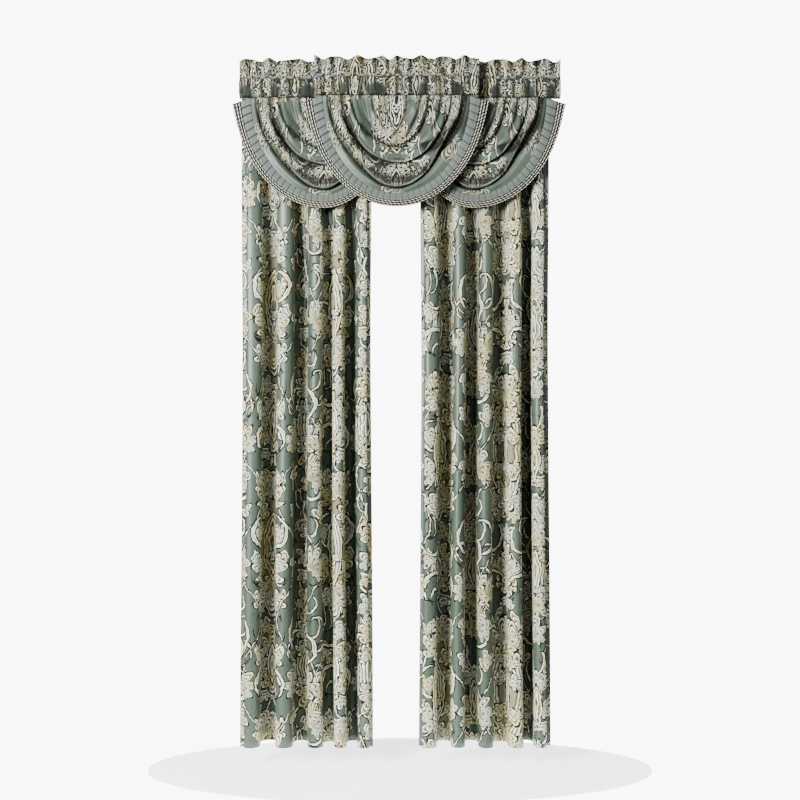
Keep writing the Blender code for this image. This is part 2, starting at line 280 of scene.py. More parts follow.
def eased(places, values, wanted):
    """A smooth curve through a table's points that never swings past them."""
    places = np.asarray(places, float)
    values = np.asarray(values, float)
    gaps = np.diff(places)
    slopes = np.diff(values) / gaps
    product = slopes[1:] * slopes[:-1]
    total = slopes[1:] + slopes[:-1]
    safe = np.where(product > 0, total, 1.0)
    inner = np.where(product > 0, 2 * product / safe, 0.0)
    tangents = np.concatenate([slopes[:1], inner, slopes[-1:]])
    spot = np.clip(np.searchsorted(places, wanted, side="right") - 1, 0, len(gaps) - 1)
    t = (wanted - places[spot]) / gaps[spot]
    rest = 1 - t
    return (
        values[spot] * (1 + 2 * t) * rest * rest
        + gaps[spot] * tangents[spot] * t * rest * rest
        + values[spot + 1] * t * t * (3 - 2 * t)
        - gaps[spot] * tangents[spot + 1] * t * t * rest
    )


def gather_phase(x):
    """Gathers counted along the rod, uneven as they are when a pocket is pushed together."""
    uneven = 0.009 * np.sin(11.0 * x + 0.4) + 0.005 * np.sin(31.0 * x + 1.0)
    return 2 * math.pi * (x + uneven) / GATHER_PITCH


def waves(seed, count, across, down, spread_across, spread_down):
    """Soft uneven wrinkles from -1 to 1: a few sines of differing lengths, the same on each run."""
    draw = np.random.default_rng(seed)
    total = 0.0
    for _ in range(count):
        turn = draw.uniform(*spread_across) * across + draw.uniform(*spread_down) * down
        total = total + np.sin(turn + draw.uniform(0, 2 * math.pi))
    return total / count


def raised(grid, heights):
    """A grid of points moved along its own normals, towards the room where heights are positive."""
    normal = np.cross(np.gradient(grid, axis=0), np.gradient(grid, axis=1))
    length = np.linalg.norm(normal, axis=2, keepdims=True)
    return grid + normal / np.maximum(length, 1e-12) * heights[..., None]


def crease_relief(across, below, creases):
    """Heights and shade of listed creases on a cloth, from 0 to 1 for the shade."""
    heights, shade = np.zeros(across.shape), np.zeros(across.shape)
    for depth, width, dark, roll, fades, points in creases:
        points = np.array(points)
        run = run_length(points, 0)
        wanted = np.linspace(0.0, run[-1], 72)
        line = np.stack([eased(run, points[:, 0], wanted), eased(run, points[:, 1], wanted)])
        off = np.stack([across[..., None] - line[0], below[..., None] - line[1]])
        distance = np.linalg.norm(off, axis=0)
        near = distance.argmin(axis=-1)
        heading = np.gradient(line, axis=1)
        heading /= np.linalg.norm(heading, axis=0)
        spot = near[..., None]
        off = np.take_along_axis(off, np.broadcast_to(spot, (2, *spot.shape)), axis=-1)[..., 0]
        side = off[1] * heading[0][near] - off[0] * heading[1][near]
        distance = distance.min(axis=-1)
        share = near / (len(wanted) - 1)
        strength = 1 - smooth(share, 0.86, 1.0)
        if fades:
            strength = strength * smooth(share, 0.0, 0.14)
        beside = np.where(side > 0, distance / (0.7 * width), distance / (1.5 * width))
        rolled = np.exp(-(((side - 2.6 * width) / (1.6 * width)) ** 2)) * (distance < 8 * width)
        trough, blur = np.exp(-(beside**2)), np.exp(-((beside / 2.6) ** 2))
        heights += strength * (roll * rolled - depth * trough)
        shade = np.maximum(shade, dark * strength * (0.65 * trough + 0.35 * blur))
    return heights, shade


def run_length(points, axis):
    """Distance along a grid's rows or columns from its first point."""
    steps = np.linalg.norm(np.diff(points, axis=axis), axis=-1)
    pad = [(0, 0)] * steps.ndim
    pad[axis] = (1, 0)
    return np.cumsum(np.pad(steps, pad), axis=axis)


def mesh_piece(name, points, faces, places, materials, marks=None):
    """A smooth-shaded object from points and faces, with UV layers in metres of cloth and of marks."""
    mesh = bpy.data.meshes.new(name)
    mesh.from_pydata(points.tolist(), [], faces.tolist())
    layer = mesh.uv_layers.new(name="cloth")
    corners = np.zeros(len(mesh.loops), np.int64)
    mesh.loops.foreach_get("vertex_index", corners)
    layer.data.foreach_set("uv", places[corners].astype(np.float32).ravel())
    if marks is not None:
        layer = mesh.uv_layers.new(name="marks")
        layer.data.foreach_set("uv", marks[corners].astype(np.float32).ravel())
    for material in materials:
        mesh.materials.append(material)
    mesh.shade_smooth()
    mesh.update()
    piece = bpy.data.objects.new(name, mesh)
    bpy.context.scene.collection.objects.link(piece)
    return piece


def grid_faces(rows, columns, around=False):
    """Corner numbers of a grid's faces, whose normals point to the room."""
    index = np.arange(rows * columns).reshape(rows, columns)
    if around:
        index = np.concatenate([index, index[:, :1]], axis=1)
    upper, lower = index[:-1], index[1:]
    corners = (upper[:, :-1], lower[:, :-1], lower[:, 1:], upper[:, 1:])
    return np.stack([corner.ravel() for corner in corners], axis=1)


def cloth(name, grid, places, marks, thickness, materials):
    """One thin sheet through a grid of points, with its face towards the room.

    marks are how shaded and how free of motifs the cloth is at each point, from 0 to 1.
    """
    faces = grid_faces(*grid.shape[:2])
    marks = np.stack(np.broadcast_arrays(*marks, grid[..., 0])[:2], axis=2).reshape(-1, 2)
    piece = mesh_piece(name, grid.reshape(-1, 3), faces, places.reshape(-1, 2), materials, marks)
    body = piece.modifiers.new("cloth_thickness", "SOLIDIFY")
    body.thickness = thickness
    body.offset = 0.0
    body.material_offset = 1
    return piece


def strip(name, grid, places, materials):
    """A closed strip: rows are stations along it, and each row runs once round its section."""
    faces = grid_faces(*grid.shape[:2], around=True)
    return mesh_piece(name, grid.reshape(-1, 3), faces, places.reshape(-1, 2), materials)


def stand_for(piece, slot, *nodes):
    """The piece rides with the curtains in place of its solids."""
    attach(piece, "root")
    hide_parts(*nodes)


def maths(operation, reflected=False):
    """A method of a socket that adds one Math node."""

    def method(self, *others):
        values = (*others, self) if reflected else (self, *others)
        return self.node("Math", {"operation": operation}, dict(enumerate(values)))

    return method


class Socket:
    """A node's output in a material. Arithmetic on it adds Math nodes."""

    __add__ = __radd__ = maths("ADD")
    __sub__ = maths("SUBTRACT")
    __rsub__ = maths("SUBTRACT", reflected=True)
    __mul__ = __rmul__ = maths("MULTIPLY")
    __abs__ = maths("ABSOLUTE")
    __lt__ = maths("LESS_THAN")
    __gt__ = maths("GREATER_THAN")
    sin = maths("SINE")
    cos = maths("COSINE")
    sqrt = maths("SQRT")
    most = maths("MAXIMUM")
    angle = maths("ARCTAN2")
    pingpong = maths("PINGPONG")
    times_add = maths("MULTIPLY_ADD")
    wrapped = maths("WRAP")

    def __init__(self, tree, output):
        self.tree = tree
        self.output = output

    def node(self, kind, settings=(), inputs=(), output=0):
        """Any node, from its type, its settings and the values or links of its sockets."""
        made = self.tree.nodes.new("ShaderNode" + kind)
        for name, value in dict(settings).items():
            if name == "stops":
                ramp = made.color_ramp
                while len(ramp.elements) < len(value):
                    ramp.elements.new(1.0)
                for element, (place, colour) in zip(ramp.elements, value):
                    element.position = place
                    element.color = (*colour, 1.0)
            else:
                setattr(made, name, value)
        for key, value in dict(inputs).items():
            if isinstance(value, Socket):
                self.tree.links.new(value.output, made.inputs[key])
            else:
                made.inputs[key].default_value = value
        return Socket(self.tree, made.outputs[output])

    def wrap(self, low, high):
        return self.wrapped(high, low)

    def mix(self, other, factor):
        """This value where the factor is 0, and the other where it is 1."""
        return self.node("Mix", {"data_type": "FLOAT"}, {"Factor": factor, 2: self, 3: other})

    def tint(self, other, factor, blend="MIX"):
        """This colour where the factor is 0, and the other, blended in, where it is 1."""
        settings = {"data_type": "RGBA", "blend_type": blend}
        return self.node("Mix", settings, {"Factor": factor, 6: self, 7: other}, output=2)

    def parts(self):
        """The first two numbers of a vector or colour."""
        split = self.node("SeparateXYZ", {}, {0: self})
        return split, Socket(self.tree, split.output.node.outputs[1])

    def between(self, low, high, start=0.0, end=1.0):
        """Eased from start at low to end at high."""
        settings = {"interpolation_type": "SMOOTHSTEP"}
        return self.node("MapRange", settings, {0: self, 1: low, 2: high, 3: start, 4: end})

    def vector(self, operation, other):
        """A vector from this one and another."""
        return self.node("VectorMath", {"operation": operation}, {0: self, 1: other})

    def noise(self, scale, detail, output=0):
        """Soft uneven values over this vector's space."""
        return self.node("TexNoise", {}, {"Vector": self, "Scale": scale, "Detail": detail}, output)

    def ramp(self, *stops):
        """Colours at places from 0 to 1."""
        return self.node("ValToRGB", {"stops": stops}, {0: self})

    def bump(self, strength, distance):
        """A normal for the light, from this height."""
        return self.node("Bump", {}, {"Strength": strength, "Distance": distance, "Height": self})


def over(front, back):
    """The front motif with its outline, laid on what is behind it."""
    return back.mix(front, front < OUTLINE)


def turned(x, y, degrees):
    """Coordinates along and across a direction: 0 degrees is to the right, and 90 down."""
    c, s = math.cos(math.radians(degrees)), math.sin(math.radians(degrees))
    return x.times_add(c, y * s), x.times_add(-s, y * c)


def from_foot(x, y):
    return x.times_add(x, y * y).sqrt()


def vesica(x, y, half_width, half_height):
    """A pointed oval: below 0 inside it."""
    return abs(x) + (y * y).times_add(half_width / half_height**2, -half_width)


def petal_lengths(turn, petals, reach, lobes):
    swing, least = lobes
    return abs((turn * (petals / 2)).cos()).times_add(swing * reach, least * reach)


def tapered(turn, sweep, width):
    """A scroll's half width, taken away: full in its middle, and none sweep degrees away."""
    return (turn * turn).times_add(width / math.radians(sweep) ** 2, -width)


def fan(x, y, reach, petals, degrees, swirl=9.0):
    """Curled petals that spread from a foot towards degrees, longest in the middle."""
    x, y = turned(x, y, degrees)
    r = from_foot(x, y)
    a = y.angle(x)
    curled = r.times_add(swirl, a)
    lobes = petal_lengths(curled, petals, reach, FAN_LOBES)
    return (r - lobes * (a * 0.46).cos()) * LOBE_SLOPE


def stem(x, y, middle, swing, phase, half_width):
    """A ribbon that sways down the cloth."""
    sway = y.times_add(4 * math.pi / REPEAT_DOWN, phase).sin().times_add(swing, middle)
    return abs(x - sway) - half_width


def scroll(x, y, bend, degrees, sweep, width):
    """A crescent of that bend radius, thickest towards degrees and pointed at both ends."""
    x, y = turned(x, y, degrees)
    return abs(from_foot(x, y) - bend) + tapered(y.angle(x), sweep, width)


def sprays(x, y, pitch, shift, reach, petals, bend, sweep, width, bare, open_share):
    """A narrow fan or a hooked scroll at each scattered point, each with its own lean.

    bare is the share of the points without one, and open_share what is added to it between
    the medallions' columns.
    """
    place = x.node("CombineXYZ", {}, {0: x, 1: y + shift})
    settings = {"voronoi_dimensions": "2D", "feature": "F1"}
    inputs = {"Vector": place, "Scale": 1 / pitch, "Randomness": 0.75}
    draw = place.node("TexVoronoi", settings, inputs, output="Color")
    middle = Socket(draw.tree, draw.output.node.outputs["Position"])
    column, _ = middle.parts()
    bare = (abs(column - OPEN_STRIP) < OPEN_STRIP_HALF) * open_share + bare
    dx, dy = place.vector("SUBTRACT", middle).parts()
    dx = dx * 1.4
    turn, chance = draw.parts()
    a = turn.times_add(2.4, dy.angle(dx) + 0.4).wrap(-math.pi, math.pi)
    r = from_foot(dx, dy)
    curled = r.times_add(10.0, a)
    spray = (r - petal_lengths(curled, petals, reach, SPRAY_LOBES) * (a * 0.5).cos()) * LOBE_SLOPE
    hook = (a + 1.3).wrap(-math.pi, math.pi)
    curl = abs(hook.times_add(0.004, r - bend)) + tapered(hook, sweep, width)
    edge = place.node("TexVoronoi", {**settings, "feature": "DISTANCE_TO_EDGE"}, inputs)
    both = over((chance < bare).times_add(0.1, spray), (chance > 1.2 - bare).times_add(0.1, curl))
    return both.most(edge.times_add(-pitch, 0.001))


def design(across, down, bare, filling):
    """Distance into the woven motifs: below 0 inside, 0 on their edge, in metres.

    bare is the share of the scattered places left without a motif. The filling between the
    medallions is "stems", small "sprigs" or "none". x runs from a medallion's column and z
    from the other edge, y from the great medallions' middles and w from the lesser ones'.
    """
    across, down = across * (1 / WEAVE_STRETCH), down * WEAVE_SQUEEZE
    place = across.node("CombineXYZ", {}, {0: across, 1: down})
    x = across.pingpong(HALF_REPEAT)
    stray_x, stray_y = place.noise(26.0, 2.0, "Color").parts()
    bristle = place.vector("MULTIPLY", (120.0, 34.0, 1.0)).noise(1.0, 1.0)
    x = x + bristle.times_add(0.006, stray_x.times_add(0.020, -0.013))
    down = down + stray_y.times_add(0.020, -0.010)
    y = down.wrap(-REPEAT_DOWN / 2, REPEAT_DOWN / 2)
    w = (down - REPEAT_DOWN / 2).wrap(-REPEAT_DOWN / 2, REPEAT_DOWN / 2)
    z = HALF_REPEAT - x
    few = bare, (0.35 if filling == "stems" else 0.0)
    fillings = {
        "stems": ((stem, x, y, 0.135, 0.044, 0.9, 0.0021), (stem, x, y, 0.195, 0.036, 3.6, 0.0020)),
        "sprigs": ((sprays, x, y, 0.050, 5.0, 0.036, 6, 0.020, 120, 0.0055, *few),),
        "none": (),
    }
    d = sprays(x, y, 0.070, 0.0, 0.046, 6, 0.030, 120, 0.0042, *few)
    motifs = (
        *fillings[filling],
        (sprays, x, y, 0.115, 3.0, 0.066, 8, 0.050, 130, 0.0052, *few),
        # The row between the great medallions.
        (fan, x - 0.045, w + 0.015, 0.060, 8, 150),
        (scroll, x - 0.072, w - 0.045, 0.040, -60, 130, 0.0054),
        (fan, x, w + 0.040, 0.055, 8, -90, 0.0),
        (fan, x, w - 0.030, 0.055, 8, 90, 0.0),
        (vesica, x, w, 0.016, 0.060),
        # The lesser medallion, half a repeat lower at the other edge.
        (scroll, z - 0.040, w + 0.055, 0.044, -20, 120, 0.0056),
        (fan, z - 0.036, w - 0.040, 0.060, 8, 30),
        (vesica, z, w, 0.046, 0.130),
        (fan, z - 0.026, w + 0.036, 0.034, 6, -70),
        (fan, z - 0.024, w - 0.045, 0.034, 6, 110),
        (fan, z, w + 0.085, 0.062, 8, -90, 0.0),
        (fan, z, w - 0.080, 0.062, 8, 90, 0.0),
        (vesica, z, w, 0.018, 0.064),
        (fan, z, y + 0.020, 0.050, 8, -90, 0.0),
        (vesica, z, y - 0.030, 0.018, 0.064),
        # The great medallion.
        (fan, x - 0.058, y + 0.130, 0.062, 8, -50),
        (scroll, x - 0.080, y + 0.040, 0.044, 10, 120, 0.0056),
        (fan, x - 0.066, y - 0.060, 0.062, 8, 25),
        (fan, x - 0.045, y - 0.140, 0.060, 8, 55),
        (vesica, x, y, 0.080, 0.215),
        (fan, x - 0.020, y + 0.150, 0.066, 8, -80),
        (fan, x - 0.046, y - 0.050, 0.040, 6, 100),
        (fan, x - 0.044, y + 0.085, 0.040, 6, -110),
        (fan, x, y - 0.120, 0.075, 8, 90, 0.0),
        (fan, x - 0.038, y + 0.030, 0.034, 6, -60),
        (vesica, x, y - 0.010, 0.030, 0.105),
        (fan, x, y - 0.030, 0.024, 6, 90, 0.0),
    )
    for shape, *measures in motifs:
        d = over(shape(*measures), d)
    return d


def weave(across, down, pitch):
    """Height of fine crossing threads, from 0 to 1."""
    warp = (across * (2 * math.pi / pitch)).sin()
    weft = (down * (2 * math.pi / pitch)).sin()
    return warp * weft * 0.5 + 0.5


def woven_lines(ground, line, ivory, pale, beige, dark):
    """Colours from deep inside a motif to the ground round it, each with its distance from the edge."""
    stops = [(OUTLINE + 0.0007, ground), (OUTLINE, line), (-0.0006, line)]
    for ring in range(RINGS):
        start = -0.0013 - ring * RING_PITCH
        end = start - RING_PITCH + 0.0006
        stops += [(start, ivory), (start - 0.0022, ivory), (start - 0.0030, pale)]
        stops += [(end + dark + 0.0006, beige), (end + dark, line), (end, line)]
    stops.append((-0.0013 - RINGS * RING_PITCH, beige))
    return stops[::-1]


def mixed(*shares):
    """A colour from pairs of a colour and its share."""
    return tuple(sum(share * colour[k] for colour, share in shares) for k in range(3))


def two_tone(value, colour, dark, pale):
    """The colour times dark where the value is low, and times pale where it is high."""
    return value.ramp((0.3, [c * dark for c in colour]), (0.7, [c * pale for c in colour]))


def damask(colours, place, across, down, painted_sheen, bare, filling, boldness, dark):
    """Satin ground, paler with more painted sheen, with woven ivory and gold motifs that have dark
    outlines.

    Boldness widens the lines inside the motifs, and dark is the width of the dark ones.
    """
    shade, plain = place.node("UVMap", {"uv_map": "marks"}).parts()
    ivory, gold, sage, line = map(tuple, (colours.ivory, colours.gold, colours.sage, colours.outline))
    # Painted sheen: a paler ground where the cloth faces the light more, as on the swags.
    ground = tuple(a + (b - a) * painted_sheen for a, b in zip(colours.ground, sage))
    pale = mixed((ivory, 0.24), (gold, 0.31), (sage, 0.45))
    beige = mixed((gold, 0.40), (sage, 0.60))
    d = design(across, down, bare, filling)
    d = d + place.noise(60.0, 1.0).times_add(LINE_SWELL, -LINE_SWELL / 2)
    stops = woven_lines(ground, line, ivory, pale, beige, dark)
    low, high = stops[0][0], stops[-1][0]
    share = d.node("MapRange", {}, {0: d, 1: low * boldness, 2: high * boldness, 3: 0.0, 4: 1.0})
    woven = share.ramp(*(((stop - low) / (high - low), colour) for stop, colour in stops))
    streaks = place.vector("MULTIPLY", (420.0, 60.0, 1.0)).noise(1.0, 2.0)
    warm = place.noise(9.0, 1.0).between(0.44, 0.60, 0.0, 0.85) * (d < 0.0)
    woven = woven.tint((1.0, 0.89, 0.66, 1.0), warm, "MULTIPLY").tint((*ground, 1.0), plain)
    colour = woven.tint((0.60, 0.60, 0.58, 1.0), streaks.between(0.40, 0.75, 0.0, 0.8), "MULTIPLY")
    is_ground = plain.most(d > OUTLINE)
    return {
        # Painted shade darkens the colour towards the outline's where the marks' shade is high.
        "Base Color": colour.tint((*line, 1.0), shade * PAINTED_SHADE_DEPTH),
        "Roughness": shade.most(is_ground.times_add(-0.30, 0.80)),
        "Normal": weave(across, down, 0.0014).bump(0.2, 0.0006),
        "Specular IOR Level": 0.2,
        "Coat Weight": (is_ground - shade).most(0.0) * SATIN_COAT,
        "Coat Roughness": 0.42,
    }


def reverse(colours, place, across, down):
    """The plain dull back of the damask."""
    flecks = place.noise(90.0, 3.0)
    return {
        "Base Color": two_tone(flecks, colours.reverse, 0.55, 1.1),
        "Roughness": flecks.between(0.2, 0.8, 0.6, 0.75),
        "Normal": weave(across, down, 0.0016).bump(0.25, 0.0006),
    }


def satin(colours, place, across, down):
    """Pale satin, with painted shade in the crease beside each pleat, and a dark line along a seam."""
    pleat = across.wrap(0.0, 1.0)
    # Painted shade beside each pleat, with a dark line along the seam.
    pleat_shade_and_seam = pleat.between(0.74, 0.86).most(pleat.between(0.0, 0.08, 1.0, 0.0))
    pleat_shade_and_seam = pleat_shade_and_seam.most(abs(down - BAND_STITCH).between(0.0004, 0.0012, 0.55, 0.0))
    tone = place.noise(5.0, 2.0)
    return {
        "Base Color": two_tone(tone, colours.satin, 0.85, 1.12).tint((*colours.outline, 1.0), pleat_shade_and_seam * PAINTED_SHADE_DEPTH),
        "Roughness": tone.between(0.3, 0.7, 0.58, 0.70),
        "Normal": weave(across * 0.02, down, 0.0012).bump(0.15, 0.0005),
    }


def braid(colours, place, across, down):
    """Cream and black yarns that wind round each cord, and the black tape under them."""
    turn = (across * (2 / CORD_TWIST) + down * 2).wrap(0.0, 1.0)
    dark = (turn.between(0.42, 0.50) * turn.between(0.94, 1.0, 1.0, 0.0)).most(down > 1.5)
    fibres = place.noise(700.0, 2.0)
    return {
        "Base Color": two_tone(fibres, colours.cord, 0.7, 1.0).tint((*colours.outline, 1.0), dark),
        "Roughness": fibres.between(0.2, 0.8, 0.5, 0.7),
        "Normal": (turn * (4 * math.pi)).sin().bump(0.4, 0.0006),
        "Specular IOR Level": 0.2,
    }


def pale_floor(colours, place, across, down):
    """A floor that is almost as pale as the sky behind it."""
    return {
        "Base Color": two_tone(place.noise(30.0, 2.0), WHITE[:3], 0.90, 0.93),
        "Roughness": 0.8,
        "Emission Color": WHITE,
        "Emission Strength": FLOOR_GLOW,
    }


FINISHES = {
    # what makes it; then a damask's painted sheen, bare share, filling, boldness and dark lines' width
    "damask_face": (damask, 0.0, 0.42, "stems", 1.0, 0.0016),
    "heading_face": (damask, 0.0, 0.10, "sprigs", 1.30, 0.0043),
    "swag_face": (damask, 0.12, 0.32, "none", 1.10, 0.0042),
    "damask_reverse": (reverse,),
    "band_satin": (satin,),
    "braid_cord": (braid,),
    "pale_floor": (pale_floor,),
}


def finish(name):
    """One of the named materials, made on its first use."""
    material = bpy.data.materials.get(name)
    if material is None:
        material = bpy.data.materials.new(name)
        material.use_nodes = True
        tree = material.node_tree
        tree.nodes.clear()
        place = Socket(tree, tree.nodes.new("ShaderNodeTexCoord").outputs["UV"])
        maker, *settings = FINISHES[name]
        sockets = maker(bpy.context.scene.curtain_colours, place, *place.parts(), *settings)
        shader = place.node("BsdfPrincipled", {}, sockets)
        surface = tree.nodes.new("ShaderNodeOutputMaterial")
        tree.links.new(shader.output, surface.inputs["Surface"])
    return material


def faces_and_back(face):
    """A cloth's woven face, and the back that its thickness gives it."""
    return finish(face), finish("damask_reverse")


def plan_of_folds(folds):
    """Arrays along the cloth: where it would be without folds, across, and front."""
    steps = np.linspace(0.0, 1.0, 65)
    turn = FOLD_SWING * np.sin(math.pi * steps)
    middle = (turn[1:] + turn[:-1]) / 2
    across_share = np.concatenate([[0.0], np.cumsum(np.cos(middle))])
    depth_share = np.concatenate([[0.0], np.cumsum(np.sin(middle))])
    halves = len(folds) - 1
    counted = np.linspace(0.0, halves, halves * FOLD_STEPS + 1)
    half = np.minimum(counted.astype(int), halves - 1)
    share = counted - half
    table = np.array(folds)
    along = np.interp(share, steps, across_share / across_share[-1])
    deep = np.interp(share, steps, depth_share / depth_share[-1])
    across = table[half, 0] + (table[half + 1, 0] - table[half, 0]) * along
    front = table[half, 1] + (table[half + 1, 1] - table[half, 1]) * deep
    return table[-1, 0] * counted / halves, across, front


def panel_grid(left, folds, darker, wrinkle):
    """The points of a long panel's cloth from its lower seam to its hem."""
    even, across, front = plan_of_folds(folds)
    drop = PANEL_LENGTH + SEAM_Z - SEAM_GAP
    below = (drop * np.linspace(0.0, 1.0, PANEL_STEPS + 1) ** 1.25)[:, None]
    wander = WANDER * np.sin(2.1 * below + 9.0 * even) * smooth(below, 0.1, 0.8)
    x = even + (across - even) * smooth(below, 0.0, 0.45) + wander
    puckered = smooth(below, 0.0, 0.04) * (1 - smooth(below, 0.10, 0.45))
    pucker = PUCKER * puckered * np.cos(gather_phase(left + x))
    places, depths = zip(*FOLD_DEPTHS)
    y = BACK_LAYER - eased(places, depths, below) * front - pucker
    z = np.broadcast_to(SEAM_Z - SEAM_GAP - below, x.shape)
    grid = np.stack([left + x, y, z], axis=2)
    cloth_run = run_length(grid, 1)[PANEL_STEPS // 2]
    soft = waves(11, 7, cloth_run, below, (18, 70), (-2.2, 2.2))
    fine = waves(12, 9, cloth_run, below, (60, 190), (-5.0, 5.0))
    ease = smooth(below, 0.02, 0.2) * (0.45 + 0.55 * smooth(below, 0.35, 0.8))
    # Painted shade in the valleys behind the folds, and more of it over the folds between the darker ends.
    shade = VALLEY_SHADE * smooth(-front, 0.1, 1.0) * smooth(below, 0.05, 0.35)
    start, end = darker
    dim = smooth(across, start - 0.015, start + 0.015) * (1 - smooth(across, end - 0.015, end + 0.015))
    shade = np.maximum(shade, DARKER_SHADE * dim)
    return raised(grid, wrinkle * (1.2 * soft + 0.7 * fine) * ease), cloth_run, below, shade


def heading_grid(middle, left, right, rod_y, phase_shift):
    """The points of a heading's cloth, up its back, over the ruffle's top and down its front."""
    x = np.linspace(left, right, round((right - left) / HEADING_STEP) + 1)[None, :]
    gather = gather_phase(middle + x)
    crest = GATHER_CREST * (0.5 + 0.5 * np.cos(gather))
    swing = RUFFLE_SWING * np.sin(gather * 0.97 + phase_shift)
    top_dip = RUFFLE_DIP * (0.5 - 0.5 * np.cos(gather * 0.61 + 2.1 * phase_shift))
    bulge = POCKET_HALF_DEPTH + POCKET_WALL + crest
    inset = HEADING_SHEET / 2
    seam = SEAM_THICKNESS / 2 - inset
    thin = RUFFLE_THICKNESS / 2 - inset
    # Share of the way down the ruffle, then of the way down the pocket.
    ruffle = np.linspace(0.0, 1.0, 13)[:, None]
    pocket = np.linspace(0.0, 1.0, 17)[1:, None]
    ruffle_z = -top_dip * (1 - ruffle) - RUFFLE_HEIGHT * ruffle
    sway = swing * (1 - ruffle) ** 1.2
    swell = np.sqrt(np.clip(1 - (2 * pocket - 1) ** 2, 0.0, 1.0)) ** 0.75
    pocket_z = np.broadcast_to(-RUFFLE_HEIGHT - POCKET_HEIGHT * pocket, (len(pocket), x.shape[1]))
    start = thin * (1 - pocket) + seam * pocket
    pocket_y = start + (bulge - inset - start) * swell
    half = np.concatenate([np.broadcast_to(thin, ruffle_z.shape), pocket_y])
    middle_y = np.concatenate([sway, np.zeros(pocket_y.shape)])
    z = np.concatenate([ruffle_z, pocket_z])
    front_y, back_y = middle_y - half, middle_y + half
    # A turning behind the hanging cloth's top closes the seam.
    turning = np.full((1, x.shape[1]), SHEET_THICKNESS / 2 + 0.0012)
    y = np.concatenate([turning, back_y[::-1], front_y])
    z = np.concatenate([0 * turning + SEAM_Z - TURNING, z[::-1], z])
    grid = np.stack([np.broadcast_to(middle + x, y.shape), rod_y + y, z], axis=2)
    down = run_length(grid, 0)
    in_pocket = smooth(-z, RUFFLE_HEIGHT - 0.012, RUFFLE_HEIGHT + 0.006)
    lean = 0.35 * np.sin(23.0 * (middle + x)) * (z + RUFFLE_HEIGHT) / 0.05
    # Painted shade: in the creases between the gathers, between the knots at the ruffle's top, over the
    # ledge at the ruffle's seam where a dark stitch line also runs, a little all over, and most in the
    # hollows.
    deep = np.abs(np.cos(gather * 0.5 + lean)) ** 7
    narrow = np.abs(np.cos(gather * 0.83 + 1.1 - 1.6 * lean)) ** 11
    knots = np.abs(np.cos(gather * 0.70 + 0.4)) ** 6 * smooth(z, -0.020, -0.002)
    seam_stitch_and_shade = np.exp(-(((z + RUFFLE_HEIGHT) / 0.0024) ** 2))
    gathered = (0.95 * deep + 0.85 * narrow) * (0.60 + 0.40 * in_pocket)
    shade = np.clip(gathered + 1.0 * knots + 0.9 * seam_stitch_and_shade, 0.0, 1.0)
    hollow = np.zeros(y.shape)
    for place, half_width in HEADING_HOLLOWS:
        away = np.hypot((middle + x - place) / half_width, (z - SEAM_Z - 0.016) / 0.026)
        hollow = np.maximum(hollow, 1 - smooth(away, 0.6, 1.2))
    share, least = HEADING_SHADE
    shade = np.maximum(least + share * shade, HOLLOW_SHADE * hollow)
    uneven = waves(21, 6, x, z, (90, 420), (-12, 12))
    sunk = 0.0016 * hollow + 0.0026 * deep + 0.0016 * narrow + 0.0008 * uneven + 0.0008
    return raised(grid, -sunk * in_pocket * smooth(z, SEAM_Z + 0.001, SEAM_Z + 0.010)), down, shade, hollow


